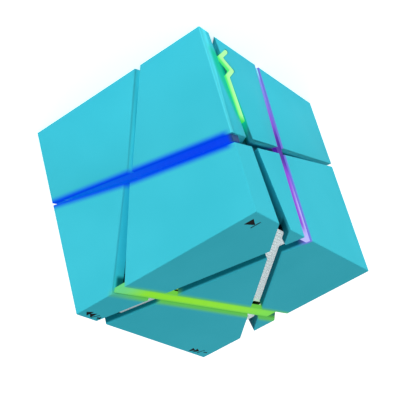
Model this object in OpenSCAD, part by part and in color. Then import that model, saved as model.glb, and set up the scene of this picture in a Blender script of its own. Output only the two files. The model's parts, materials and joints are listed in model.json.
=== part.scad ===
// Palm-sized cube loudspeaker whose skin is split by four cracks into thirteen blocks.
// It rests on z = 0, the face with the printed control marks is on top, and -Y is the front.

/* [Cube] */
// Edge length of the whole cube
cube_edge = 67; // [66:0.5:70]
// Thickness of the blocks' side and bottom walls
skin = 4.4; // [4:0.1:4.4]
// Thickness of the fixed blocks over the grille
roof = 2.8; // [2.6:0.1:3]

/* [Cracks] */
// Height of the level crack's lower wall at the front left edge
level_start = 39.8; // [39.6:0.1:40]
// Height of the level crack's opening at that edge
level_width = 3.4; // [3.2:0.1:3.6]
// Place along X of the long crack's left wall, carried down to the front bottom edge
long_start = -8.2; // [-8.4:0.1:-8]
// Place along Y of the grille crack's front wall, carried down to the left bottom edge
grille_start = -26.2; // [-26.4:0.1:-26]
// Place along Y of the side crack's front wall, carried down to the left bottom edge
side_start = -3.7; // [-3.8:0.1:-3.6]

/* [Keys] */
// How far a control key travels
key_travel = 0.5; // [0.3:0.1:0.5]
// Gap between a key and the core's side walls
key_gap = 0.4; // [0.3:0.05:0.5]
// Radius of a key's guide post
post_r = 1.5; // [1.2:0.1:1.5]
// Radius of a key's actuator post
actuator_r = 1.2; // [1:0.1:1.2]
// Radial running clearance of a post in its bore
running_gap = 0.05; // [0.02:0.01:0.1]

/* [Grille] */
// Grille sheet thickness
sheet = 0.4; // [0.3:0.1:0.5]
// Radius of one grille hole
hole_r = 0.46; // [0.4:0.01:0.48]
// Pitch of the holes across the grille crack
hole_pitch = 1.6; // [1.5:0.05:1.8]
// Spacing of the staggered rows of holes
hole_row = 0.85; // [0.8:0.05:1]

/* [Loudspeaker] */
// Radius of the driver's flange
driver_r = 21; // [20:0.5:21]
// Radius of the magnet
magnet_r = 13; // [11:0.5:14]
// Radius of the voice coil's former
coil_r = 6.5; // [5:0.1:7]

/* [Hidden] */
$fn = 48;

// Core: half width of the inner housing, its wall, and the levels of what stacks up in it
h = cube_edge / 2;
reach = 3 * cube_edge;
core = h - skin;
wall = 2;
tub_inner = core - wall;
tub_floor = 4;
wall_gap = 0.02;
core_wall_low = tub_floor + wall + wall_gap;
grille_top = cube_edge - roof;
grille_low = grille_top - sheet;
baffle_t = 3.4;
baffle_low = grille_low - baffle_t;
key_under = grille_top + key_travel + 0.3;

// Walls of the level crack: height at the front left edge, fall per mm to the right and to the rear
level_low = [level_start, 0.187, 0.215];
level_high_left = [level_start + level_width, 0.198, 0.249];
level_high_right = [level_start + level_width + 2.2, 0.260, 0.215];
// Walls of the long crack, left then right: x at the front bottom edge, x per mm of y, x per mm of z
long_high_near = [long_start, -0.242, 0.342];
long_high_far = [long_start - 0.6, -0.240, 0.424];
long_low_near = [long_start - 2, -0.240, 0.375];
long_low_far = [long_start + 0.2, -0.240, 0.378];
// Walls of the grille crack, front then rear: y at the left bottom edge, y per mm of x, y per mm of z
grille_high_near = [grille_start, 1.064, 0.077];
grille_high_far = [grille_start - 0.8, 1.061, 0.181];
grille_low_near = [grille_start - 2.2, 1.064, 0.090];
grille_low_far = [grille_start + 0.8, 1.064, 0.120];
// Walls of the side crack, the same three values
side_high_near = [side_start, -0.258, -0.045];
side_high_far = [side_start + 3.2, -0.250, -0.032];
side_low_near = [side_start + 1.8, -0.258, -0.095];
side_low_far = [side_start + 4, -0.250, -0.055];

// The same walls as half spaces, each facing the block that it bounds
above_left = level_plane(level_high_left);
above_right = level_plane(level_high_right);
below_level = flipped(level_plane(level_low));
left_of_long = flipped(long_plane(long_high_near));
right_of_long = long_plane(long_high_far);
front_of_grille = flipped(cross_plane(grille_high_near));
rear_of_grille = cross_plane(grille_high_far);
front_of_side = flipped(cross_plane(side_high_near));
rear_of_side = cross_plane(side_high_far);
low_left_of_long = flipped(long_plane(long_low_near));
low_right_of_long = long_plane(long_low_far);
low_front_of_grille = flipped(cross_plane(grille_low_near));
low_rear_of_grille = cross_plane(grille_low_far);
low_front_of_side = flipped(cross_plane(side_low_near));
low_rear_of_side = cross_plane(side_low_far);

// Pegs that seat the fixed blocks
peg_r = 1.5;
peg_gap = 0.05;

// Printed marks, let into the keys
mark_depth = 0.3;
mark_line = 0.5;

// Retaining clips on the guide posts
clip_t = 0.6;
clip_r = 2.6;

// Light guides: gap to fixed walls, depth below the faces, gap of the lime guide to the keys
guide_gap = 0.15;
guide_recess = 0.5;
lime_gap = 0.5;
// Thickness of the visible strips of the purple and lime guides, behind which thinner pipes carry the light
strip_t = 1.2;
pipe_r = 0.8;

// The bolt-shaped guide: half its width, and y and z of its corners on the left face, tip first
bolt_r = 0.72;
crack_turn = atan(grille_high_near[1]);
BOLT = [[-19.8, 3.2], [-24.6, 7.5], [-19.5, 10.5], [-23.7, 14.6], [-22.9, 30.7]];

// Light boards: emitter width, board thickness, then length, emitters and place of each bar
led_w = 1.6;
bar_t = 0.8;
blue_length = 48;
blue_count = 6;
blue_start = [-24, 39.4];
blue_slope = 11;
purple_length = 46;
purple_count = 6;
purple_start = [-3.2, 10];
lime_length = 46;
lime_count = 7;
lime_start = [13.45, -23];
lime_angle = 103.6;

// Driver, from its flange down to its magnet
flange_t = 1.2;
flange_low = baffle_low - 0.5 - flange_t;
plate_top = baffle_low - 12;
plate_t = 2;
magnet_t = 6;
gap_r = coil_r + 0.8;
cone_base = plate_top + 3.4;
cone_rim_r = driver_r - 6;
cone_rim_z = baffle_low - 1.1;
basket_wall = 1;
surround_r = driver_r - 1.3 - basket_wall;

// Key switches on their ledges
ledge_z = baffle_low - 4;
ledge_t = 1.5;
ledge_half = 4.5;
key_board_t = 1;
tact_half = 2;
tact_t = 1.5;
tact_z = ledge_z + key_board_t;
plunger_r = 1.1;
plunger_top = tact_z + tact_t + 0.8;
plunger_slack = 0.03;

// Main board and the ports along its rear edge
board_z = 9.4;
board_t = 1.2;
board_top = board_z + board_t;
board_rear = h - 1.9;
bay = [[-14.5, 6.8], [15, 15.3]];
plate_y = h - 1.7;
plate_t_port = 1.2;
switch_x = -9.5;
jack_x = -0.8;
usb_x = 8;
knob_z = board_top + 1.6;
jack_r = 1.75;
jack_barrel_r = 2.2;
jack_z = board_top + jack_barrel_r + 0.05;
switch_travel = 2;

// Radius of the leads
lead_r = 0.45;

// Screws, and the posts in the tub's corners that take them
tub_post_r = 3.2;
tub_post_low = 45;
foot_boss_r = 2.6;
board_boss_r = 2.4;
screw_r = 1.1;
screw_head_r = 2;
screw_head_t = 1.4;
foot_screw_r = 1.1;
foot_head_r = 2.1;
foot_head_z = 2.2;
foot_boss_top = 8.2;
board_screw_r = 0.9;

plastic = "turquoise";
inner_plastic = "teal";

// Keys: guide post place, actuator place
KEY_PLAY = [[-24.3, -17], [-9, -24.3]];
KEY_PREV = [[24.2, -24.4], [19.3, -24.4]];
KEY_NEXT = [[24.3, -3], [22.5, 19]];
KEYS = [KEY_PLAY, KEY_PREV, KEY_NEXT];

// Upright screw posts that tie the baffle to the core's side walls and its front wall
SIDE_POSTS = [[-24.1, -24.2], [24.1, 9], [-24.1, 23.9]];
END_POSTS = [[9, -24.3]];
TUB_POSTS = concat(SIDE_POSTS, END_POSTS);
// Screws that tie each lower block to the tub floor
FOOT_SCREWS = [[15, -24], [-18.5, -24], [-24.5, -10], [-26.2, 12], [22, 4], [-4, 20]];
// Pegs of the fixed upper blocks in the baffle
MIDDLE_PEGS = [[-7, -5], [2, 5]];
REAR_PEGS = [[-24.3, 6], [-12, 24.3]];
// Screws that tie the main board to the tub floor
BOARD_POSTS = [[-16, -14], [16, -14], [-16, 14], [16, 16]];
// Pegs of the small upper blocks in the tub's walls: place along the wall, height
LEFT_PEGS = [[-12, 46], [-11, 56]];
WEDGE_PEGS = [[4, 32], [5, 50]];
// Heights of the pipes behind the purple strip
PURPLE_PIPES = [13.8, 21.5, 29.2, 44.5, 52.2];

// ---------- half spaces and blocks ----------

// A plane as [point, normal], from heights over the base, or from x or y places
function level_plane(w, shift = 0) = [[-h, -h, w[0] + shift], [w[1], w[2], 1]];
function long_plane(w, shift = 0) = [[w[0] + shift, -h, 0], [1, -w[1], -w[2]]];
function cross_plane(w, shift = 0) = [[-h, w[0] + shift, 0], [-w[1], 1, -w[2]]];
function flipped(plane) = [plane[0], -plane[1]];

// All space on the side of a plane that its normal points to
module beyond(plane) {
    n = plane[1];
    translate(plane[0])
        rotate([0, acos(n[2] / norm(n)), atan2(n[1], n[0])])
            translate([-reach, -reach, 0])
                cube([2 * reach, 2 * reach, reach]);
}

module centred_box(half, low, high) {
    translate([-half, -half, low]) cube([2 * half, 2 * half, high - low]);
}

// The cube's skin with a given side wall and a given floor and roof level of its hollow
module shell(side, low, high) {
    difference() {
        centred_box(h, 0, cube_edge);
        centred_box(h - side, low, high);
    }
}

// The part of a skin that lies beyond every plane of a list
module cut_block(planes, side, low, high) {
    intersection() {
        shell(side, low, high);
        intersection_for (p = planes) beyond(p);
    }
}

// A moving block: its skin clears the core, and two posts reach down through the baffle
module key_block(planes, places, mark) {
    guide_end = baffle_low - clip_t - 0.45;
    color(plastic) difference() {
        union() {
            cut_block(planes, skin - key_gap, -1, key_under);
            rod(places[0], post_r, guide_end, key_under + 0.5);
            rod(places[1], actuator_r, plunger_top + plunger_slack, key_under + 0.5);
        }
        mark_pocket() mark_outline(mark);
    }
}

module fixed_block(planes) {
    color(plastic) difference() {
        cut_block(planes, skin, -1, grille_top);
        children();
    }
}

module foot_block(planes) {
    color(plastic) difference() {
        cut_block(concat([below_level], planes), skin, tub_floor, cube_edge + 1);
        foot_screw_holes();
        children();
    }
}

module rod(place, r, low, high) {
    translate([place[0], place[1], low]) cylinder(r = r, h = high - low);
}

// A cylinder along X or Y from a wall's outer side inwards
module peg_x(y, z, r, x0, x1) {
    translate([x0, y, z]) rotate([0, 90, 0]) cylinder(r = r, h = x1 - x0);
}

module peg_y(x, z, r, y0, y1) {
    translate([x, y1, z]) rotate([90, 0, 0]) cylinder(r = r, h = y1 - y0);
}

module block_play() {
    key_block([above_left, left_of_long, front_of_grille, front_of_side], KEY_PLAY, "play");
}

module block_prev() {
    key_block([above_right, right_of_long, front_of_side], KEY_PREV, "prev");
}

module block_next() {
    key_block([above_right, right_of_long, rear_of_side, front_of_grille], KEY_NEXT, "next");
}

module block_middle() {
    color(plastic) union() {
        fixed_block([left_of_long, rear_of_side, front_of_grille]);
        for (p = MIDDLE_PEGS) rod(p, peg_r, baffle_low + 0.2, grille_top + 0.5);
    }
}

module block_left() {
    color(plastic) union() {
        fixed_block([above_left, rear_of_grille, front_of_side, left_of_long]);
        for (p = LEFT_PEGS) peg_x(p[0], p[1], peg_r, -core - 1, -tub_inner);
    }
}

module block_rear() {
    color(plastic) union() {
        fixed_block([above_left, left_of_long, rear_of_grille, rear_of_side]);
        for (p = REAR_PEGS) rod(p, peg_r, baffle_low + 0.2, grille_top + 0.5);
    }
}

module block_wedge() {
    color(plastic) union() {
        fixed_block([above_right, right_of_long, rear_of_grille]);
        for (p = WEDGE_PEGS) peg_y(p[0], p[1], peg_r, tub_inner, core + 1);
    }
}

module foot_front() { foot_block([low_right_of_long, low_front_of_side]); }

module foot_strip() { foot_block([low_left_of_long, low_front_of_grille, low_front_of_side]); }

module foot_left() {
    foot_block([low_left_of_long, low_rear_of_grille, low_front_of_side]) bolt_groove();
}

module foot_rear_left() { foot_block([low_left_of_long, low_rear_of_grille, low_rear_of_side]); }

module foot_right() { foot_block([low_right_of_long, low_front_of_grille, low_rear_of_side]); }

module foot_rear() {
    foot_block([low_right_of_long, low_rear_of_grille, low_rear_of_side]) port_window(0);
}

// ---------- control marks, let into the keys ----------

module arrow(x, y, angle, length, width) {
    translate([x, y]) rotate(angle)
        polygon([[0, -width / 2], [length, 0], [0, width / 2]]);
}

module stroke(x, y, angle, length) {
    translate([x, y]) rotate(angle) translate([0, -mark_line / 2]) square([length, mark_line]);
}

// Each mark reads along its own local X
module mark_outline(mark) {
    if (mark == "play") translate([-29.1, -30.9]) rotate(90) {
        arrow(0, 0, 0, 3.5, 3.5);
        stroke(3.65, -1.8, 90, 3.6);
    }
    if (mark == "prev") translate([30.7, -31.8]) rotate(82) {
        arrow(2, 0, 180, 2.2, 2.8);
        arrow(4, 0, 180, 2.2, 2.8);
        stroke(4.2, -1.2, 60, 2.8);
        stroke(6, 0, 0, 1.8);
        stroke(6.9, -0.9, 90, 1.8);
    }
    if (mark == "next") translate([31.6, 23.4]) rotate(98) {
        arrow(0, 0, 0, 2.2, 2.6);
        arrow(2, 0, 0, 2.2, 2.6);
        stroke(4.2, -1.2, 60, 2.8);
        stroke(6.2, 0, 0, 1.8);
    }
}

module mark_pocket() {
    translate([0, 0, cube_edge - mark_depth]) linear_extrude(1) children();
}

module icon(mark) {
    color("black") translate([0, 0, cube_edge - mark_depth])
        linear_extrude(mark_depth - 0.02) mark_outline(mark);
}

module icon_play() { icon("play"); }

module icon_prev() { icon("prev"); }

module icon_next() { icon("next"); }

// ---------- retaining clips on the guide posts ----------

module clip(place) {
    color("silver") translate([place[0], place[1], baffle_low - clip_t - 0.02]) difference() {
        cylinder(r = clip_r, h = clip_t);
        translate([0, 0, -1]) cylinder(r = post_r, h = clip_t + 2);
    }
}

module clip_play() { clip(KEY_PLAY[0]); }

module clip_prev() { clip(KEY_PREV[0]); }

module clip_next() { clip(KEY_NEXT[0]); }

// ---------- light guides in the cracks ----------

module guide_blue() {
    color("blue") intersection() {
        translate([-h + guide_recess, -h + guide_recess, 0])
            cube([cube_edge - 4.5, skin - guide_recess, cube_edge]);
        beyond(level_plane(level_low, guide_gap));
        beyond(flipped(level_plane(level_high_left, -key_travel - 0.3)));
        beyond(flipped(level_plane(level_high_right, -key_travel - 0.3)));
    }
}

module guide_purple() {
    slab_low = guide_recess;
    slab_high = cube_edge - guide_recess / 2;
    color("mediumpurple") union() {
        intersection() {
            translate([-h + guide_recess, -h, slab_low]) cube([strip_t, cube_edge, slab_high - slab_low]);
            union() {
                intersection() {
                    beyond(cross_plane(side_low_near, guide_gap));
                    beyond(flipped(cross_plane(side_low_far, -guide_gap)));
                    beyond(flipped(level_plane(level_high_left, -guide_gap)));
                }
                intersection() {
                    beyond(cross_plane(side_high_near, guide_gap));
                    beyond(flipped(cross_plane(side_high_far, -guide_gap)));
                    beyond(level_plane(level_low, guide_gap));
                }
            }
        }
        for (z = PURPLE_PIPES)
            peg_x(purple_middle(z), z, pipe_r, -h + guide_recess + strip_t / 2, -core - 0.05);
    }
}

// Middle of the side crack behind the left face, at a height
function purple_middle(z) =
    let (walls = z < 35 ? [side_low_near, side_low_far] : [side_high_near, side_high_far])
    (y_on(walls[0], -h + skin / 2, z) + y_on(walls[1], -h + skin / 2, z)) / 2;

// A thin strip near the surface, with a pipe down to each emitter
module guide_lime() {
    strip_top = cube_edge - guide_recess;
    color("greenyellow") union() {
        intersection() {
            translate([-h, -h + guide_recess, strip_top - strip_t]) cube([cube_edge, h + core - guide_recess, strip_t]);
            beyond(long_plane(long_high_near, lime_gap));
            beyond(flipped(long_plane(long_high_far, -lime_gap)));
        }
        place_lime(-0.1) for (i = [0:lime_count - 1])
            translate([lime_length * (i + 0.5) / lime_count, 0, 0])
                cylinder(r = pipe_r, h = strip_top - strip_t / 2 - grille_low - 0.1);
    }
}

// The bolt's zigzag, drawn in y and z with a half width
module bolt_outline(r) {
    for (i = [0:len(BOLT) - 2]) {
        run = BOLT[i + 1] - BOLT[i];
        translate(BOLT[i]) rotate(atan2(run[1], run[0])) translate([0, -r]) square([norm(run), 2 * r]);
    }
    for (p = BOLT) translate(p) circle(r = r + 0.03);
}

module guide_bolt() {
    color("palegreen") union() {
        translate([-h + 0.05, 0, 0]) rotate([90, 0, 90]) linear_extrude(2 * bolt_r) bolt_outline(bolt_r);
        translate([-h + 0.05 + bolt_r, BOLT[4][0], BOLT[4][1] - 1]) rotate([0, 0, crack_turn])
            rotate([0, 90, 0]) cylinder(r = bolt_r - 0.15, h = 3.6);
    }
}

// The groove for the upper bends; the wedge between them would be too thin to stand, so it goes too
module bolt_groove() {
    depth = 2 * bolt_r + 0.3;
    translate([-h - 1, 0, 0]) rotate([90, 0, 90]) linear_extrude(depth + 1) union() {
        bolt_outline(bolt_r + 0.1);
        polygon([BOLT[1] + [-1, -1], BOLT[2], BOLT[3] + [-1, 1]]);
    }
}

// ---------- light boards behind the guides ----------

// A strip board with a row of emitters, along its own X with the emitters facing its own Z
module led_bar(length, count) {
    color("white") union() {
        translate([0, -1.4, 0]) cube([length, 2.8, bar_t]);
        for (i = [0:count - 1])
            translate([length * (i + 0.5) / count - led_w / 2, -led_w / 2, bar_t - 0.05])
                cube([led_w, led_w, 0.85]);
    }
}

module place_blue() {
    translate([blue_start[0], -tub_inner + 0.85, blue_start[1]])
        rotate([0, blue_slope, 0]) rotate([90, 0, 0]) children();
}

module place_purple() {
    translate([-tub_inner + 0.85, purple_start[0], purple_start[1]]) rotate([0, -90, 0]) children();
}

module led_bar_blue() { place_blue() led_bar(blue_length, blue_count); }

module led_bar_purple() { place_purple() led_bar(purple_length, purple_count); }

module place_lime(drop) {
    translate([lime_start[0], lime_start[1], grille_low - drop]) rotate([0, 0, lime_angle]) children();
}

module led_bar_lime() { place_lime(bar_t + 0.9) led_bar(lime_length, lime_count); }

// Round windows in a wall in front of each emitter of a row
module led_windows(length, count) {
    for (i = [0:count - 1])
        translate([length * (i + 0.5) / count, 0, 0]) cylinder(r = 1.3, h = 6);
}

// ---------- core ----------

module foot_screw_holes() {
    for (p = FOOT_SCREWS) {
        rod(p, foot_screw_r + 0.2, -1, tub_floor + 1);
        rod(p, foot_head_r + 0.2, -1, foot_head_z);
    }
}

// What the screws, pegs, light and ports need out of the core
module core_openings() {
    for (p = TUB_POSTS) rod(p, screw_r, baffle_low - 8, baffle_low + 1);
    for (p = FOOT_SCREWS) rod(p, foot_screw_r, tub_floor - 1, foot_boss_top - 1);
    for (p = BOARD_POSTS) rod(p, board_screw_r, tub_floor + 2, board_z + 1);
    for (p = LEFT_PEGS) peg_x(p[0], p[1], peg_r + peg_gap, -core - 1, -tub_inner + 1);
    for (p = WEDGE_PEGS) peg_y(p[0], p[1], peg_r + peg_gap, tub_inner - 1, core + 1);
    place_blue() led_windows(blue_length, blue_count);
    place_purple() led_windows(purple_length, purple_count);
    port_window(0.3);
    peg_x(BOLT[4][0] + 3.2, BOLT[4][1] - 1, bolt_r - 0.15, -core - 1, -tub_inner + 1);
}

module core_floor() {
    color(inner_plastic) difference() {
        union() {
            centred_box(core, tub_floor, tub_floor + wall);
            for (p = BOARD_POSTS) rod(p, board_boss_r, tub_floor + 1, board_z);
            intersection() {
                for (p = FOOT_SCREWS) rod(p, foot_boss_r, tub_floor + 1, foot_boss_top);
                centred_box(tub_inner - wall_gap, tub_floor, foot_boss_top);
            }
        }
        core_openings();
    }
}

// A screw post against the wall that carries it, kept clear of the walls that it only stands beside
module wall_post(place, wall_half) {
    intersection() {
        rod(place, tub_post_r, tub_post_low, baffle_low);
        translate([-wall_half[0], -wall_half[1], 0])
            cube([2 * wall_half[0], 2 * wall_half[1], cube_edge]);
    }
}

// The left and right walls run the core's full depth
module core_sides() {
    color(inner_plastic) difference() {
        union() {
            for (side = [-1, 1])
                translate([side * (core - wall / 2) - wall / 2, -core, core_wall_low])
                    cube([wall, 2 * core, baffle_low - core_wall_low]);
            for (p = SIDE_POSTS) wall_post(p, [core, tub_inner - wall_gap]);
            translate([tub_inner - 6.5, KEY_NEXT[1][1] - ledge_half, ledge_z - ledge_t])
                cube([6.5 + wall / 2, 2 * ledge_half, ledge_t]);
        }
        core_openings();
    }
}

// The front and rear walls stand between them
module core_ends() {
    width = 2 * (tub_inner - wall_gap);
    color(inner_plastic) difference() {
        union() {
            for (side = [-1, 1])
                translate([-width / 2, side * (core - wall / 2) - wall / 2, core_wall_low])
                    cube([width, wall, baffle_low - core_wall_low]);
            for (p = END_POSTS) wall_post(p, [tub_inner - wall_gap, core]);
            for (k = [KEY_PLAY, KEY_PREV])
                translate([k[1][0] - ledge_half, -tub_inner - wall / 2, ledge_z - ledge_t])
                    cube([2 * ledge_half, 5 + wall / 2, ledge_t]);
        }
        core_openings();
    }
}

module baffle() {
    color(inner_plastic) difference() {
        union() {
            difference() {
                centred_box(core, baffle_low, grille_low);
                rod([0, 0], driver_r - 2, baffle_low - 1, grille_low + 1);
            }
            intersection() {
                rod([0, 0], driver_r - 1, baffle_low, grille_low);
                union() {
                    translate([-2.5, 0, baffle_low]) rotate([0, 0, 48])
                        translate([-h, -2.5, 0]) cube([cube_edge, 5, baffle_t]);
                    place_lime(baffle_t) translate([-5, -2, 0]) cube([cube_edge, 4, baffle_t]);
                }
            }
        }
        for (k = KEYS) rod(k[0], post_r + running_gap, baffle_low - 1, grille_low + 1);
        for (k = KEYS) rod(k[1], actuator_r + running_gap, baffle_low - 1, grille_low + 1);
        for (p = concat(MIDDLE_PEGS, REAR_PEGS)) rod(p, peg_r + peg_gap, baffle_low - 1, grille_low + 1);
        for (p = TUB_POSTS) {
            rod(p, screw_r + 0.2, baffle_low - 1, grille_low + 1);
            rod(p, screw_head_r + 0.2, grille_low - screw_head_t - 0.1, grille_low + 1);
        }
        place_lime(1.8) translate([-0.2, -1.6, 0]) cube([lime_length + 0.4, 3.2, 3]);
    }
}

// Whether a point of the sheet lies within half a width of the grille or side crack's middle
function in_crack(x, y) =
    let (z = grille_top, g0 = y_on(grille_high_near, x, z), g1 = y_on(grille_high_far, x, z),
         s0 = y_on(side_high_near, x, z), s1 = y_on(side_high_far, x, z), edge = core - 1)
    abs(x) < edge && abs(y) < edge
    && ((y > g0 - 1 && y < g1 + 1) || (y > s0 - 0.4 && y < s1 + 0.4));

function y_on(w, x, z) = w[0] + w[1] * (x + h) + w[2] * z;

function x_on(w, y, z) = w[0] + w[1] * (y + h) + w[2] * z;

// Whether a hole would run into the slot of the lime guide, a peg or a post
function is_clear(x, y) =
    let (z = grille_top, l0 = x_on(long_high_near, y, z), l1 = x_on(long_high_far, y, z))
    (x < l0 + 0.2 || x > l1 - 0.2)
    && min([for (p = concat(MIDDLE_PEGS, REAR_PEGS, [for (k = KEYS) k[0]], [for (k = KEYS) k[1]]))
            norm([x, y] - p)]) > peg_r + 1;

module grille() {
    turn = crack_turn;
    span = ceil(0.75 * cube_edge / hole_row);
    color("silver") translate([0, 0, grille_low]) linear_extrude(sheet) difference() {
        square(2 * core, center = true);
        for (i = [-span:span], j = [-span:span]) {
            u = i * hole_row;
            v = (j + (i % 2 == 0 ? 0 : 0.5)) * hole_pitch;
            x = u * cos(turn) - v * sin(turn);
            y = u * sin(turn) + v * cos(turn);
            if (in_crack(x, y) && is_clear(x, y)) translate([x, y]) circle(r = hole_r, $fn = 16);
        }
        for (p = concat(MIDDLE_PEGS, REAR_PEGS)) translate(p) circle(r = peg_r + 0.1);
        for (k = KEYS) translate(k[0]) circle(r = post_r + 0.4);
        for (k = KEYS) translate(k[1]) circle(r = actuator_r + 0.4);
        translate(lime_start) rotate(lime_angle) translate([-1.4, -1.5]) square([lime_length + 3.6, 3]);
    }
}

// ---------- loudspeaker, facing up under the baffle ----------

module driver_gasket() {
    color("black") translate([0, 0, baffle_low - 0.5]) difference() {
        cylinder(r = driver_r, h = 0.5);
        translate([0, 0, -1]) cylinder(r = driver_r - 2, h = 3);
    }
}

module driver_basket() {
    floor_z = plate_top;
    outer = driver_r - 1.2;
    inner = outer - basket_wall;
    bowl_z = floor_z + 6;
    color("dimgray") difference() {
        rotate_extrude() polygon([
            [gap_r + 1, floor_z], [magnet_r, floor_z], [outer, bowl_z], [outer, flange_low],
            [driver_r, flange_low], [driver_r, flange_low + flange_t], [inner, flange_low + flange_t],
            [inner, bowl_z + 0.4], [magnet_r - 0.6, floor_z + basket_wall], [gap_r + 1, floor_z + basket_wall]
        ]);
        for (a = [45:90:359]) rotate([0, 0, a])
            translate([magnet_r + 0.8, -4, floor_z + 2]) cube([9, 8, bowl_z - floor_z]);
    }
}

module driver_top_plate() {
    color("silver") translate([0, 0, plate_top - plate_t]) difference() {
        cylinder(r = magnet_r - 1, h = plate_t);
        translate([0, 0, -1]) cylinder(r = gap_r, h = plate_t + 2);
    }
}

module driver_magnet() {
    color("dimgray") translate([0, 0, plate_top - plate_t - magnet_t]) difference() {
        cylinder(r = magnet_r, h = magnet_t);
        translate([0, 0, -1]) cylinder(r = gap_r + 1.2, h = magnet_t + 2);
    }
}

module driver_yoke() {
    color("silver") translate([0, 0, plate_top - plate_t - magnet_t - 2]) union() {
        cylinder(r = magnet_r - 1, h = 2);
        cylinder(r = coil_r - 0.8, h = 2 + magnet_t + plate_t);
    }
}

module voice_coil() {
    color("orangered") translate([0, 0, plate_top - plate_t - 1]) difference() {
        union() {
            cylinder(r = coil_r, h = cone_base - plate_top + plate_t + 1);
            cylinder(r = coil_r + 0.4, h = 4);
        }
        translate([0, 0, -1]) cylinder(r = coil_r - 0.3, h = 20);
    }
}

module cone() {
    color("black") rotate_extrude() polygon([
        [coil_r, cone_base - 0.6], [coil_r + 0.8, cone_base - 0.6], [cone_rim_r, cone_rim_z],
        [cone_rim_r, cone_rim_z + 0.4], [cone_rim_r - 0.6, cone_rim_z + 0.4], [coil_r, cone_base + 0.4]
    ]);
}

module dust_cap() {
    cap_r = coil_r + 1.6;
    ball_r = 9;
    cap_lift = 2;
    rise = sqrt(ball_r * ball_r - cap_r * cap_r);
    color("black") translate([0, 0, cone_base + cap_lift]) intersection() {
        translate([0, 0, -rise]) difference() {
            sphere(r = ball_r);
            sphere(r = ball_r - 0.3);
        }
        cylinder(r = cap_r, h = 10);
    }
}

module surround() {
    mid = (cone_rim_r + surround_r) / 2;
    roll = (surround_r - cone_rim_r) / 2;
    color("black") rotate_extrude() translate([mid, cone_rim_z + 0.4]) intersection() {
        difference() {
            circle(r = roll);
            circle(r = roll - 0.3);
        }
        translate([-roll, -roll]) square([2 * roll, roll]);
    }
}

module spider() {
    color("goldenrod") translate([0, 0, plate_top + 1.6]) difference() {
        cylinder(r = magnet_r - 1.2, h = 0.4);
        translate([0, 0, -1]) cylinder(r = coil_r + 0.05, h = 3);
    }
}

// ---------- key switches ----------

module key_boards() {
    color("green") {
        for (k = [KEY_PLAY, KEY_PREV])
            translate([k[1][0] - 4, -tub_inner + 0.2, ledge_z]) cube([8, 4.7, key_board_t]);
        translate([tub_inner - 6.2, KEY_NEXT[1][1] - 4, ledge_z]) cube([6, 8, key_board_t]);
    }
}

module tact_switches() {
    color("dimgray") for (k = KEYS) translate([k[1][0], k[1][1], tact_z]) difference() {
        translate([-tact_half, -tact_half, 0]) cube([2 * tact_half, 2 * tact_half, tact_t]);
        translate([0, 0, 0.2]) cylinder(r = plunger_r + running_gap, h = tact_t);
    }
}

module plunger(place) {
    color("black") rod(place, plunger_r, tact_z + 0.2 + key_travel + 0.1, plunger_top);
}

module plunger_play() { plunger(KEY_PLAY[1]); }

module plunger_prev() { plunger(KEY_PREV[1]); }

module plunger_next() { plunger(KEY_NEXT[1]); }

// ---------- main board, ports and power ----------

// The window that the ports look out of, grown by a clearance
module port_window(grow) {
    translate([bay[0][0] - grow, core - wall - 1, bay[0][1] - grow])
        cube([bay[1][0] - bay[0][0] + 2 * grow, skin + wall + 2, bay[1][1] - bay[0][1] + 2 * grow]);
}

module main_board() {
    color("darkgreen") difference() {
        union() {
            translate([-19, -18, board_z]) cube([38, tub_inner - 0.4 + 18, board_t]);
            translate([bay[0][0] + 0.3, 0, board_z])
                cube([bay[1][0] - bay[0][0] - 0.6, board_rear, board_t]);
        }
        for (p = BOARD_POSTS) rod(p, board_screw_r + 0.1, board_z - 1, board_top + 1);
    }
}

module main_chip() {
    color("dimgray") translate([-5, -6, board_top]) cube([9, 9, 1.4]);
}

module usb_port() {
    color("silver") difference() {
        translate([usb_x - 3.75, board_rear - 4.6, board_top]) cube([7.5, 5.6, 2.6]);
        translate([usb_x - 3.4, board_rear - 3.6, board_top + 0.35]) cube([6.8, 6, 1.9]);
    }
}

module aux_jack() {
    color("dimgray") difference() {
        union() {
            translate([jack_x - 3, board_rear - 11, board_top]) cube([6, 10.2, 4.4]);
            peg_y(jack_x, jack_z, jack_barrel_r, board_rear - 1.2, board_rear + 1.1);
        }
        peg_y(jack_x, jack_z, jack_r, board_rear - 10, board_rear + 3);
    }
}

module card_slot() {
    color("silver") difference() {
        translate([usb_x - 6, board_rear - 12, board_z - 1.8]) cube([12, 12.2, 1.8]);
        translate([usb_x - 5.6, board_rear - 11, board_z - 1.45]) cube([11.2, 14, 1]);
    }
}

module switch_body() {
    color("silver") difference() {
        translate([switch_x - 4.2, board_rear - 3.6, board_top]) cube([8.4, 3.4, 3.2]);
        translate([switch_x - 2.7, board_rear - 2.4, knob_z - 0.85]) cube([5.4, 4, 1.7]);
    }
}

module switch_knob() {
    color("black") union() {
        translate([switch_x - 2.3, board_rear - 2.1, knob_z - 0.7]) cube([2.6, 1.6, 1.4]);
        translate([switch_x - 1.9, board_rear - 1, knob_z - 0.6]) cube([1.8, h - 0.3 - board_rear + 1, 1.2]);
    }
}

module port_plate() {
    color("black") difference() {
        translate([bay[0][0] + 0.1, plate_y + 0.1, bay[0][1] + 0.1])
            cube([bay[1][0] - bay[0][0] - 0.2, plate_t_port, bay[1][1] - bay[0][1] - 0.2]);
        translate([switch_x - 2.5, plate_y - 1, knob_z - 0.95]) cube([switch_travel + 3.0, 4, 1.9]);
        peg_y(jack_x, jack_z, jack_barrel_r + 0.1, plate_y - 1, h + 1);
        translate([usb_x - 3.95, plate_y - 1, board_top - 0.2]) cube([7.9, 4, 3]);
        translate([usb_x - 6.2, plate_y - 1, board_z - 2]) cube([12.4, 4, 2.05]);
    }
}

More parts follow.
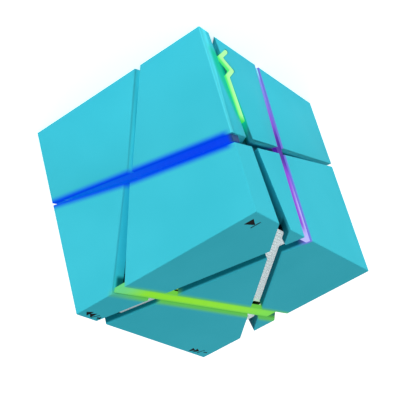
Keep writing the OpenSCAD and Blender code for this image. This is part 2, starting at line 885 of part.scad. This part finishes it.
module battery() {
    color("lightsteelblue") union() {
        translate([-13, -tub_inner + 0.6, tub_floor + wall]) cube([17, 6, 21]);
        translate([-11, -tub_inner + 1.6, tub_floor + wall + 20.5]) cube([13, 4, 1]);
    }
}

// A thin lead along a few straight runs
module lead(points, r) {
    for (i = [0:len(points) - 2]) {
        run = points[i + 1] - points[i];
        translate(points[i])
            rotate([0, acos(run[2] / norm(run)), atan2(run[1], run[0])]) cylinder(r = r, h = norm(run));
        translate(points[i + 1]) sphere(r = 1.12 * r);
    }
}

module battery_leads() {
    color("red") for (s = [0, 3])
        lead([[-6 + s, -23.5, 27.6], [-6 + s, -23.5, 29.5], [-6 + s, -17, 29.5], [-6 + s, -14, 24],
              [-6 + s, -14, board_top + 0.55]], lead_r);
}

module driver_leads() {
    color("orange") for (s = [-1.5, 1.5])
        lead([[s, 17.3, plate_top + 3], [s, 19.5, 44], [s, 19.5, 20], [s, 12, board_top + 0.55]], lead_r);
}

// ---------- fasteners ----------

module cross_recess(z, up) {
    for (a = [0, 90]) rotate([0, 0, a]) translate([-1, -0.25, z - (up ? 0.7 : 0)]) cube([2, 0.5, 0.7]);
}

module screw(low, high, r, head_r, head_t, up) {
    difference() {
        union() {
            translate([0, 0, low]) cylinder(r = r, h = high - low);
            translate([0, 0, up ? high - head_t : low]) cylinder(r = head_r, h = head_t);
        }
        cross_recess(up ? high : low, up);
    }
}

module baffle_screws() {
    color("silver") for (p = TUB_POSTS) translate([p[0], p[1], 0])
        screw(baffle_low - 6, grille_low - 0.1, screw_r, screw_head_r, screw_head_t, true);
}

module foot_screws() {
    color("silver") for (p = FOOT_SCREWS) translate([p[0], p[1], 0])
        screw(foot_head_z - 1.4, foot_boss_top - 1.4, foot_screw_r, foot_head_r, 1.4, false);
}

module board_screws() {
    color("silver") for (p = BOARD_POSTS) translate([p[0], p[1], 0])
        screw(tub_floor + 3, board_top + 1, board_screw_r, 1.7, 1, true);
}

block_play();
block_prev();
block_next();
block_middle();
block_left();
block_rear();
block_wedge();
foot_front();
foot_strip();
foot_left();
foot_rear_left();
foot_right();
foot_rear();
icon_play();
icon_prev();
icon_next();
clip_play();
clip_prev();
clip_next();
guide_blue();
guide_purple();
guide_lime();
guide_bolt();
led_bar_blue();
led_bar_purple();
led_bar_lime();
core_floor();
core_sides();
core_ends();
baffle();
grille();
driver_basket();
driver_gasket();
driver_magnet();
driver_top_plate();
driver_yoke();
voice_coil();
cone();
dust_cap();
surround();
spider();
key_boards();
tact_switches();
plunger_play();
plunger_prev();
plunger_next();
main_board();
main_chip();
usb_port();
aux_jack();
card_slot();
switch_body();
switch_knob();
port_plate();
battery();
battery_leads();
driver_leads();
baffle_screws();
foot_screws();
board_screws();
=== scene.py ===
"""Looks of a palm-sized cube loudspeaker whose turquoise skin is split by four lit cracks."""
import json
import math

import bpy
from mathutils import Matrix, Vector


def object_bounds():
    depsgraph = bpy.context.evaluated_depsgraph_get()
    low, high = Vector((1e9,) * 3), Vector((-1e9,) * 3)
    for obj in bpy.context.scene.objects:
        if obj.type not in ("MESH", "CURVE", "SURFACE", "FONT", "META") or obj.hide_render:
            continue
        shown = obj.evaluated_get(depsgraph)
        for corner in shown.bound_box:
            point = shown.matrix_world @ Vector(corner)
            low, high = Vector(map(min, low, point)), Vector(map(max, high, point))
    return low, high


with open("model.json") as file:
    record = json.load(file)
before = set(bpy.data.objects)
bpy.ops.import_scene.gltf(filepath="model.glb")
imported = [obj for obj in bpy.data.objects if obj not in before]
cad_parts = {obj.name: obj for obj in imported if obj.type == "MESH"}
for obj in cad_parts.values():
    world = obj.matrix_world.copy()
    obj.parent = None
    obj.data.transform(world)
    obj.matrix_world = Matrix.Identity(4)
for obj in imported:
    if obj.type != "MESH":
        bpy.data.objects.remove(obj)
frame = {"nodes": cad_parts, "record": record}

CAD_BOX = [list(corner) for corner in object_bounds()]

# ---------- sizes, in millimetres unless a name says otherwise ----------

MM = 0.001
HALF = CAD_BOX[1][0] / MM
EDGE = CAD_BOX[1][2] / MM

# Walls of the cracks, as part.scad has them: where each starts, and its two slopes
LEVEL_LOW = (39.8, 0.187, 0.215)
LEVEL_HIGH = ((43.2, 0.198, 0.249), (45.4, 0.260, 0.215))
LONG_HIGH = ((-8.2, -0.242, 0.342), (-8.8, -0.240, 0.424))
SIDE_LOW = ((-1.9, -0.258, -0.095), (0.3, -0.250, -0.055))
SIDE_HIGH = ((-3.7, -0.258, -0.045), (-0.5, -0.250, -0.032))
GRILLE_LOW = ((-28.4, 1.064, 0.090), (-25.4, 1.064, 0.120))

# How far the light of each guide bleeds into the skin beside it, painted there as glow
BLUE_BLEED = 2.3
LIME_BLEED = 2.0
PURPLE_BLEED = 0.6

# Widths of the rounding on edges, and what counts as a sharp edge and as a flat face
SKIN_EDGE = 0.28
SMALL_EDGE = 0.08
ROUND_EDGE = 0.4
SHARP_ANGLE = math.radians(28)
FLAT_ANGLE = math.radians(0.5)

# Strengths of what glows besides the guides: the painted glow of the skin and of the grille, the pale floor
# and the world
SKIN_GLOW = 0.85
GRILLE_GLOW = 0.35
FLOOR_GLOW = 0.62
WORLD_GLOW = 0.4

# The studio, in metres
FLOOR_REACH = 6.0
LAMP_SIZE = 0.8


def srgb(code):
    """A linear colour from a six-digit sRGB code."""
    parts = [int(code[i:i + 2], 16) / 255 for i in (0, 2, 4)]
    return tuple(c / 12.92 if c < 0.04045 else ((c + 0.055) / 1.055) ** 2.4 for c in parts) + (1.0,)


# ---------- shader helpers ----------

def new_material(name):
    material = bpy.data.materials.new(name)
    material.use_nodes = True
    tree = material.node_tree
    return material, tree, tree.nodes["Principled BSDF"]


def add(tree, kind, inputs=None, **settings):
    """A new node with its settings, and its inputs set to values or linked to sockets."""
    made = tree.nodes.new(kind)
    for name, value in settings.items():
        setattr(made, name, value)
    for key, value in (inputs or {}).items():
        if isinstance(value, bpy.types.NodeSocket):
            tree.links.new(value, made.inputs[key])
        else:
            made.inputs[key].default_value = value
    return made


def compute(tree, operation, a, b=0.0):
    return add(tree, "ShaderNodeMath", {0: a, 1: b}, operation=operation).outputs[0]


def times(tree, product, *factors):
    """The product of two or more values."""
    for factor in factors:
        product = compute(tree, "MULTIPLY", product, factor)
    return product


def fade(tree, value, start, end, low=0.0, high=1.0):
    """low where value is at start, high where it is at end, smooth between."""
    ends = {"Value": value, "From Min": start, "From Max": end, "To Min": low, "To Max": high}
    return add(tree, "ShaderNodeMapRange", ends, interpolation_type="SMOOTHSTEP").outputs["Result"]


def mix(tree, share, a, b):
    """Colour a where share is 0, colour b where it is 1."""
    made = add(tree, "ShaderNodeMix", data_type="RGBA")
    for socket, value in ((made.inputs[0], share), (made.inputs[6], a), (made.inputs[7], b)):
        if isinstance(value, bpy.types.NodeSocket):
            tree.links.new(value, socket)
        else:
            socket.default_value = value
    return made.outputs[2]


def place(tree):
    """Where a point of the surface is, in millimetres, and its x, y and z."""
    metres = add(tree, "ShaderNodeTexCoord").outputs["Object"]
    scaled = add(tree, "ShaderNodeVectorMath", {0: metres, "Scale": 1 / MM}, operation="SCALE").outputs[0]
    parts = add(tree, "ShaderNodeSeparateXYZ", {0: scaled})
    return scaled, parts.outputs[0], parts.outputs[1], parts.outputs[2]


def noise(tree, where, size, detail=3.0, rough=0.55):
    """Cloudy noise whose blotches are about size millimetres across."""
    inputs = {"Vector": where, "Scale": 1 / size, "Detail": detail, "Roughness": rough}
    return add(tree, "ShaderNodeTexNoise", inputs).outputs["Fac"]


def set_bump(tree, shader, height, depth):
    """Relief of the given depth in millimetres."""
    bump = add(tree, "ShaderNodeBump", {"Height": height, "Distance": depth * MM, "Strength": 1.0})
    tree.links.new(bump.outputs["Normal"], shader.inputs["Normal"])


def link(tree, socket, shader, name):
    tree.links.new(socket, shader.inputs[name])


# ---------- crack walls as planes: normal and offset, with positive values beyond the wall ----------

def level_wall(start, right, rear):
    return (right, rear, 1.0), start - (right + rear) * HALF


def long_wall(start, rear, up):
    return (1.0, -rear, -up), start + rear * HALF


def cross_wall(start, right, up):
    return (-right, 1.0, -up), start + right * HALF


def beyond(tree, where, wall):
    """Distance past a wall, negative on the near side."""
    normal, offset = wall
    size = math.sqrt(sum(n * n for n in normal))
    unit = tuple(n / size for n in normal)
    along = add(tree, "ShaderNodeVectorMath", {0: where, 1: unit}, operation="DOT_PRODUCT").outputs["Value"]
    return compute(tree, "SUBTRACT", along, offset / size)


def outside(tree, where, low, highs):
    """Distance from the opening between a low wall and the nearest of the high walls."""
    distance = times(tree, beyond(tree, where, low), -1.0)
    for wall in highs:
        distance = compute(tree, "MAXIMUM", distance, beyond(tree, where, wall))
    return distance


# ---------- the skin ----------

SKIN = srgb("41C6D9")
SKIN_DEEP = srgb("3DC2D5")


def bleed_blue(tree, where, x, y):
    """Share of blue light on the skin: beside the level crack on the front face."""
    away = outside(tree, where, level_wall(*LEVEL_LOW), [level_wall(*wall) for wall in LEVEL_HIGH])
    near = fade(tree, away, BLUE_BLEED, -0.2)
    front = fade(tree, y, -HALF + 4.5, -HALF + 1.0)
    corner = fade(tree, x, -HALF - 0.2, -HALF + 3.2)
    return times(tree, near, front, corner)


def bleed_lime(tree, where, y, z):
    """Share of yellow-green light on the skin: beside the long crack and a little way down it."""
    away = outside(tree, where, long_wall(*LONG_HIGH[0]), [long_wall(*LONG_HIGH[1])])
    near = fade(tree, away, LIME_BLEED, -0.6, 0.0, 0.9)
    top = fade(tree, z, EDGE - 2.4, EDGE - 0.3)
    front = fade(tree, y, -HALF, -HALF + 12.0, 0.45, 1.0)
    return times(tree, near, top, front)


def bleed_purple(tree, where, x):
    """Share of purple light on the skin: beside both lengths of the side crack."""
    upper = outside(tree, where, cross_wall(*SIDE_HIGH[0]), [cross_wall(*SIDE_HIGH[1])])
    lower = outside(tree, where, cross_wall(*SIDE_LOW[0]), [cross_wall(*SIDE_LOW[1])])
    above = fade(tree, beyond(tree, where, level_wall(*LEVEL_LOW)), 0.0, 1.5)
    below = compute(tree, "SUBTRACT", 1.0, above)
    away = compute(tree, "ADD", times(tree, upper, above), times(tree, lower, below))
    near = fade(tree, away, PURPLE_BLEED, -0.2)
    side = fade(tree, x, -HALF + 4.4, -HALF + 1.0)
    return times(tree, near, side)


def bleed_green(tree, where, x, z):
    """Share of green light beside the bolt: wide low down, on the crack's front side and in it."""
    front = times(tree, beyond(tree, where, cross_wall(*GRILLE_LOW[0])), -1.0)
    width = fade(tree, z, 13.0, 31.0, 3.6, 1.6)
    near = fade(tree, compute(tree, "DIVIDE", front, width), 1.0, 0.3)
    past = fade(tree, beyond(tree, where, cross_wall(*GRILLE_LOW[1])), 0.4, 0.05, 0.0, 1.0)
    side = fade(tree, x, -HALF + 6.0, -HALF + 1.0)
    span = times(tree, fade(tree, z, 4.5, 9.0), fade(tree, z, 35.0, 29.0))
    return times(tree, near, past, side, span)


def inside(tree, depth, others, reach=6.0):
    """1 a little way behind one face, down to reach, and away from the other faces given."""
    share = times(tree, fade(tree, depth, 0.25, 1.0), fade(tree, depth, reach, reach - 1.5))
    for other in others:
        share = times(tree, share, fade(tree, other, 0.6, 2.0))
    return share


def skin_material():
    """Satin moulded plastic, with the guides' light painted into it as glow beside the cracks, painted glow
    and painted shade on the crack walls, and a painted highlight beside one edge.
    """
    material, tree, shader = new_material("skin")
    where, x, y, z = place(tree)
    front, left, top = (compute(tree, "ADD", y, HALF), compute(tree, "ADD", x, HALF),
                        compute(tree, "SUBTRACT", EDGE, z))
    cloud = noise(tree, where, 30.0, 2.0)
    colour = mix(tree, fade(tree, cloud, 0.35, 0.7), SKIN, SKIN_DEEP)
    glow = (0.0, 0.0, 0.0, 1.0)
    # Painted highlight: a lighter cyan strip with a faint glow on the left face beside its front edge, wider
    # low down and stopping at the level crack
    highlight_width = fade(tree, z, 0.0, 36.0, 3.4, 1.2)
    beside = fade(tree, compute(tree, "DIVIDE", front, highlight_width), 1.2, 0.7)
    under = fade(tree, beyond(tree, where, level_wall(*LEVEL_LOW)), 0.0, -0.3)
    edge = times(tree, beside, fade(tree, left, 0.5, 0.1), under, fade(tree, left, -0.2, -0.05))
    shades = (
        # Crack walls behind the front face: painted glow that lightens them, standing for light in the
        # cracks
        (inside(tree, front, (left, top)), SKIN, srgb("0A6C7A")),
        # Crack walls behind the top face: painted shade, a darker teal with the glow taken out
        (inside(tree, top, (left, front)), srgb("0E7484"), srgb("000000")),
        (edge, srgb("58E4F4"), srgb("08242A")),
        (bleed_green(tree, where, x, z), srgb("04604A"), srgb("08C49C")),
        (bleed_purple(tree, where, x), srgb("504098"), srgb("7460C8")),
        (bleed_lime(tree, where, y, z), srgb("2A6A18"), srgb("6CC424")),
        (bleed_blue(tree, where, x, y), srgb("00106A"), srgb("0048EC")),
    )
    for share, tint, shine in shades:
        colour = mix(tree, share, colour, tint)
        glow = mix(tree, share, glow, shine)
    link(tree, colour, shader, "Base Color")
    link(tree, glow, shader, "Emission Color")
    shader.inputs["Emission Strength"].default_value = SKIN_GLOW
    grain = noise(tree, where, 0.22, 4.0, 0.6)
    link(tree, fade(tree, grain, 0.2, 0.8, 0.42, 0.56), shader, "Roughness")
    shader.inputs["Specular IOR Level"].default_value = 0.005
    set_bump(tree, shader, grain, 0.006)
    return material


# ---------- lit guides ----------

def lit(name, roughness=0.35, strength=1.0):
    """The material of a glowing guide, before its colours."""
    material, tree, shader = new_material(name)
    shader.inputs["Roughness"].default_value = roughness
    shader.inputs["Specular IOR Level"].default_value = 0.03
    shader.inputs["Emission Strength"].default_value = strength
    return material, tree, shader


def finish_lit(tree, shader, where, shine, depth):
    """Links the glow, with faint streaks of a deeper tint running through it."""
    streaks = noise(tree, where, 1.4, 3.0)
    soft = mix(tree, fade(tree, streaks, 0.25, 0.75, 0.0, 0.12), shine, depth)
    link(tree, soft, shader, "Emission Color")
    shader.inputs["Base Color"].default_value = tuple(c * 0.15 for c in depth[:3]) + (1.0,)
    set_bump(tree, shader, streaks, 0.01)


def blue_material():
    """Deep blue, lighter to the right and dull at its end on the left."""
    material, tree, shader = lit("blue_light", strength=0.95)
    where, x, _, _ = place(tree)
    shine = mix(tree, fade(tree, x, -24.0, 30.0), srgb("0042EE"), srgb("0066DE"))
    corner = fade(tree, x, -HALF + 0.4, -HALF + 2.4)
    shine = mix(tree, corner, srgb("244A58"), shine)
    finish_lit(tree, shader, where, shine, srgb("0030C0"))
    return material


def purple_material():
    """Purple with a dark middle, a painted highlight pale along one wall, pale at the top, and a painted
    cyan highlight at its foot.
    """
    material, tree, shader = lit("purple_light", strength=0.95)
    where, _, _, z = place(tree)
    across = times(tree, beyond(tree, where, cross_wall(*SIDE_HIGH[1])), -1.0)
    body = mix(tree, fade(tree, z, 24.0, 30.0), srgb("8C58D8"), srgb("9044DA"))
    # Painted highlight: pale lilac along one wall in the upper part
    pale = times(tree, fade(tree, across, 2.0, 0.4), fade(tree, z, 40.0, 58.0))
    body = mix(tree, pale, body, srgb("C4BCF8"))
    dark = times(tree, fade(tree, z, 22.0, 31.0), fade(tree, z, 44.0, 36.0))
    body = mix(tree, dark, body, srgb("421890"))
    body = mix(tree, fade(tree, z, 61.0, 66.0), body, srgb("C0C4FF"))
    body = mix(tree, fade(tree, z, 24.0, 6.0), body, srgb("8A98F2"))
    # Painted highlight: cyan at the foot
    body = mix(tree, fade(tree, z, 6.0, 1.5), body, srgb("90FFFF"))
    finish_lit(tree, shader, where, body, srgb("6030B0"))
    return material


def lime_material():
    """Yellow-green, greener along its sides and towards both ends."""
    material, tree, shader = lit("lime_light", strength=1.0)
    where, _, y, _ = place(tree)
    past = outside(tree, where, long_wall(*LONG_HIGH[0]), [long_wall(*LONG_HIGH[1])])
    within = times(tree, past, -1.0)
    shine = mix(tree, fade(tree, y, 8.0, 33.0), srgb("86DA20"), srgb("6CD448"))
    shine = mix(tree, fade(tree, within, 1.5, 0.5, 0.0, 0.7), shine, srgb("5CBC50"))
    shine = mix(tree, fade(tree, y, -HALF + 12.0, -HALF + 1.0), shine, srgb("62CE88"))
    finish_lit(tree, shader, where, shine, srgb("6CC020"))
    return material


def bolt_material():
    """Pale green at the face, deeper behind it and at the top end."""
    material, tree, shader = lit("green_light", 0.2, 1.0)
    where, x, _, z = place(tree)
    shine = mix(tree, fade(tree, x, -HALF + 0.12, -HALF + 0.9), srgb("B4FCA4"), srgb("50EC78"))
    shine = mix(tree, fade(tree, z, 28.5, 32.0), shine, srgb("38D850"))
    finish_lit(tree, shader, where, shine, srgb("50E070"))
    return material


# ---------- the rest of the parts ----------

def moulded(name, colour, roughness=0.5, grain_size=0.25, grain_depth=0.01, shift=0.15, shine=0.5):
    """Moulded plastic or rubber with a fine grain and a faint drift of colour."""
    material, tree, shader = new_material(name)
    where = place(tree)[0]
    darker = tuple(c * (1 - shift) for c in colour[:3]) + (1.0,)
    link(tree, mix(tree, noise(tree, where, 7.0), colour, darker), shader, "Base Color")
    grain = noise(tree, where, grain_size, 4.0, 0.6)
    link(tree, fade(tree, grain, 0.2, 0.8, roughness - 0.06, roughness + 0.08), shader, "Roughness")
    shader.inputs["Specular IOR Level"].default_value = shine
    set_bump(tree, shader, grain, grain_depth)
    return material


def metal(name, colour, roughness=0.3, stretch=(1.0, 12.0, 1.0), depth=0.004):
    """Metal with fine drawn streaks and blotchy wear."""
    material, tree, shader = new_material(name)
    where = place(tree)[0]
    drawn = add(tree, "ShaderNodeMapping", {"Vector": where, "Scale": stretch}).outputs[0]
    streaks = noise(tree, drawn, 1.2, 4.0, 0.6)
    worn = noise(tree, where, 2.5, 4.0)
    darker = tuple(c * 0.8 for c in colour[:3]) + (1.0,)
    link(tree, mix(tree, worn, colour, darker), shader, "Base Color")
    link(tree, fade(tree, streaks, 0.2, 0.8, roughness - 0.1, roughness + 0.15), shader, "Roughness")
    shader.inputs["Metallic"].default_value = 1.0
    set_bump(tree, shader, streaks, depth)
    return material


def grille_material():
    """White powder-coated sheet: pebbled coat, a little darker in its hollows, and a painted glow standing
    for light falling on it in the crack.
    """
    material, tree, shader = new_material("grille_coat")
    where = place(tree)[0]
    pebble = noise(tree, where, 0.12, 3.0, 0.5)
    link(tree, mix(tree, fade(tree, pebble, 0.3, 0.7), srgb("E6ECEE"), srgb("F8FCFC")), shader, "Base Color")
    shader.inputs["Roughness"].default_value = 0.42
    # Painted glow: the sheet glows faintly, standing for light in the crack
    shader.inputs["Emission Color"].default_value = srgb("E8F4F6")
    shader.inputs["Emission Strength"].default_value = GRILLE_GLOW
    set_bump(tree, shader, pebble, 0.008)
    return material


def winding_material():
    """Enamelled copper wire, wound turn beside turn."""
    material, tree, shader = new_material("winding")
    where = place(tree)[0]
    turns = add(tree, "ShaderNodeTexWave", {"Vector": where, "Scale": 1.6, "Distortion": 0.0},
                bands_direction="Z").outputs["Fac"]
    link(tree, mix(tree, turns, srgb("7A3210"), srgb("D98445")), shader, "Base Color")
    shader.inputs["Metallic"].default_value = 0.85
    shader.inputs["Roughness"].default_value = 0.3
    set_bump(tree, shader, turns, 0.03)
    return material


def pulp_material():
    """Pressed paper pulp: rings from the mould and loose fibres."""
    material, tree, shader = new_material("pulp")
    where = place(tree)[0]
    rings = add(tree, "ShaderNodeTexWave", {"Vector": where, "Scale": 0.32, "Distortion": 0.6},
                wave_type="RINGS", rings_direction="Z").outputs["Fac"]
    fibre = noise(tree, where, 0.3, 5.0, 0.7)
    link(tree, mix(tree, fibre, srgb("141415"), srgb("2C2C2E")), shader, "Base Color")
    shader.inputs["Roughness"].default_value = 0.85
    relief = compute(tree, "ADD", times(tree, rings, 0.6), fibre)
    set_bump(tree, shader, relief, 0.03)
    return material


def cloth_material():
    """Resin-dipped weave with a roll pressed into it."""
    material, tree, shader = new_material("spider_weave")
    where = place(tree)[0]
    warp, weft = (add(tree, "ShaderNodeTexWave", {"Vector": where, "Scale": 0.9}, bands_direction=way)
                  .outputs["Fac"] for way in ("X", "Y"))
    weave = times(tree, warp, weft)
    link(tree, mix(tree, weave, srgb("7A5A20"), srgb("C89C4C")), shader, "Base Color")
    shader.inputs["Roughness"].default_value = 0.7
    set_bump(tree, shader, weave, 0.05)
    return material


def board_material():
    """Green solder mask over traces and filled zones."""
    material, tree, shader = new_material("solder_mask")
    where = place(tree)[0]
    cells = add(tree, "ShaderNodeTexVoronoi", {"Vector": where, "Scale": 0.55},
                distance="MANHATTAN", feature="F1").outputs["Distance"]
    traces = fade(tree, compute(tree, "FRACT", times(tree, cells, 3.0)), 0.42, 0.5)
    link(tree, mix(tree, traces, srgb("0C5A2C"), srgb("147A3C")), shader, "Base Color")
    shader.inputs["Roughness"].default_value = 0.28
    shader.inputs["Coat Weight"].default_value = 0.4
    set_bump(tree, shader, traces, 0.02)
    return material


def wrap_material():
    """Shrink wrap: glossy, with long soft wrinkles."""
    material, tree, shader = new_material("shrink_wrap")
    where = place(tree)[0]
    pulled = add(tree, "ShaderNodeMapping", {"Vector": where, "Scale": (0.3, 1.0, 1.2)}).outputs[0]
    wrinkles = noise(tree, pulled, 2.0, 3.0)
    link(tree, mix(tree, wrinkles, srgb("9AA8B8"), srgb("BCC8D4")), shader, "Base Color")
    shader.inputs["Roughness"].default_value = 0.25
    set_bump(tree, shader, wrinkles, 0.06)
    return material


def led_material():
    """White strip board, faintly mottled."""
    material, tree, shader = new_material("strip_board")
    where = place(tree)[0]
    mottle = noise(tree, where, 1.6, 4.0)
    link(tree, mix(tree, mottle, srgb("E2E2DC"), srgb("F4F4EE")), shader, "Base Color")
    shader.inputs["Roughness"].default_value = 0.4
    set_bump(tree, shader, mottle, 0.01)
    return material


MATERIALS = {
    "shell": skin_material(),
    "mark": moulded("mark_ink", srgb("050506"), 0.6, 0.15, 0.003, 0.3, 0.05),
    "light_blue": blue_material(),
    "light_purple": purple_material(),
    "light_lime": lime_material(),
    "light_green": bolt_material(),
    "led": led_material(),
    "core": moulded("core_plastic", srgb("167686"), 0.5),
    "baffle": moulded("baffle_plastic", srgb("0A0C0E"), 0.6, shine=0.1),
    "grille": grille_material(),
    "basket": moulded("basket_paint", srgb("1A1A1C"), 0.38, 0.2, 0.01),
    "foam": moulded("gasket_foam", srgb("1C1C1C"), 0.95, 0.35, 0.08),
    "magnet": moulded("ferrite", srgb("38383A"), 0.6, 0.18, 0.015),
    "plated_steel": metal("zinc_plate", srgb("C4C8CC"), 0.32),
    "copper": winding_material(),
    "paper_cone": pulp_material(),
    "rubber": moulded("roll_rubber", srgb("121213"), 0.7, 0.3, 0.012),
    "spider_cloth": cloth_material(),
    "circuit_board": board_material(),
    "tin": metal("tinned_shell", srgb("CDD0D2"), 0.22, (8.0, 1.0, 1.0)),
    "black_plastic": moulded("black_plastic", srgb("141416"), 0.42),
    "battery_wrap": wrap_material(),
    "lead_red": moulded("red_insulation", srgb("B81818"), 0.4, 0.5, 0.01),
    "lead_black": moulded("orange_insulation", srgb("C05A14"), 0.4, 0.5, 0.01),
    "screw": metal("screw_zinc", srgb("B8BCC0"), 0.35, (6.0, 6.0, 1.0)),
}


# ---------- edges and finishes of the CAD nodes ----------

def soften(obj, width, segments, sharp=None):
    """Rounds an object's sharp edges, but not those round another object that is let into it."""
    weld = obj.modifiers.new("weld", "WELD")
    weld.merge_threshold = 0.001 * MM
    flatten = obj.modifiers.new("flatten", "DECIMATE")
    flatten.decimate_type = "DISSOLVE"
    flatten.angle_limit = FLAT_ANGLE
    bevel = obj.modifiers.new("round", "BEVEL")
    bevel.width = width * MM
    bevel.segments = segments
    bevel.limit_method = "ANGLE"
    bevel.angle_limit = SHARP_ANGLE
    bevel.use_clamp_overlap = False
    bevel.miter_outer = "MITER_ARC"
    if sharp:
        spots = [vertex.co for vertex in sharp.data.vertices]
        low, high = (Vector([pick(spot[i] for spot in spots) for i in range(3)]) for pick in (min, max))
        margin = 0.1 * MM
        clear = [vertex.index for vertex in obj.data.vertices
                 if any(not low[i] - margin < vertex.co[i] < high[i] + margin for i in range(3))]
        group = obj.vertex_groups.new(name="rounded")
        group.add(clear, 1.0, "REPLACE")
        bevel.limit_method = "VGROUP"
        bevel.vertex_group = "rounded"
    normals = obj.modifiers.new("normals", "WEIGHTED_NORMAL")
    normals.keep_sharp = False
    normals.weight = 100


SMALL_PARTS = ("port_plate", "switch_knob", "aux_jack", "main_chip", "battery")

for part in frame["record"]["subparts"]:
    node, slot = part["node"], part["material_slot"]
    obj = frame["nodes"][node]
    obj.data.materials.clear()
    obj.data.materials.append(MATERIALS[slot])
    if slot == "shell":
        soften(obj, SKIN_EDGE, 3, frame["nodes"].get(node.replace("block", "icon")))
    elif node == "guide_bolt":
        soften(obj, ROUND_EDGE, 4)
    elif node in SMALL_PARTS:
        soften(obj, SMALL_EDGE, 2)


# ---------- studio ----------

def area_light(name, location, power):
    """A square lamp that faces the middle of the cube."""
    data = bpy.data.lights.new(name, "AREA")
    data.shape = "SQUARE"
    data.size = LAMP_SIZE
    data.energy = power
    light = bpy.data.objects.new(name, data)
    light.location = location
    aim = Vector((0.0, 0.0, EDGE * MM / 2)) - Vector(location)
    light.rotation_euler = aim.to_track_quat("-Z", "Y").to_euler()
    bpy.context.scene.collection.objects.link(light)


def studio_floor():
    """A pale floor that lights the cube softly from below."""
    mesh = bpy.data.meshes.new("floor")
    corners = [(x * FLOOR_REACH, y * FLOOR_REACH, 0) for x, y in ((-1, -1), (1, -1), (1, 1), (-1, 1))]
    mesh.from_pydata(corners, [], [(0, 1, 2, 3)])
    floor = bpy.data.objects.new("floor", mesh)
    bpy.context.scene.collection.objects.link(floor)
    material, _, shader = new_material("floor_white")
    shader.inputs["Base Color"].default_value = (0.9, 0.9, 0.9, 1.0)
    shader.inputs["Roughness"].default_value = 0.9
    shader.inputs["Specular IOR Level"].default_value = 0.1
    shader.inputs["Emission Color"].default_value = (1.0, 1.0, 1.0, 1.0)
    shader.inputs["Emission Strength"].default_value = FLOOR_GLOW
    mesh.materials.append(material)


studio_floor()
area_light("front_light", (-0.15, -1.0, 0.22), 3.4)
area_light("left_light", (-1.0, -0.1, 0.22), 2.6)
area_light("rear_light", (0.2, 1.0, 0.3), 3.0)
area_light("right_light", (1.0, 0.2, 0.3), 3.0)

world = bpy.data.worlds.new("studio")
world.use_nodes = True
background = world.node_tree.nodes["Background"]
background.inputs["Color"].default_value = (1.0, 1.0, 1.0, 1.0)
background.inputs["Strength"].default_value = WORLD_GLOW
bpy.context.scene.world = world
bpy.context.scene.view_settings.view_transform = "Standard"


# ---------- camera: turned over, so that the cube looks balanced on a corner ----------

camera_data = bpy.data.cameras.new("camera")
camera_data.lens = 111.85
camera_data.sensor_width = 36.0
camera_data.clip_start = 0.01
camera = bpy.data.objects.new("camera", camera_data)
right = Vector((-0.78572, 0.57122, 0.23739))
up = Vector((-0.46351, -0.28955, -0.83745))
back = right.cross(up).normalized()
stand = Vector((-0.163865, -0.307914, 0.230126))
turn = Matrix([[right[i], up[i], back[i]] for i in range(3)]).to_4x4()
camera.matrix_world = Matrix.Translation(stand) @ turn
bpy.context.scene.collection.objects.link(camera)
bpy.context.scene.camera = camera
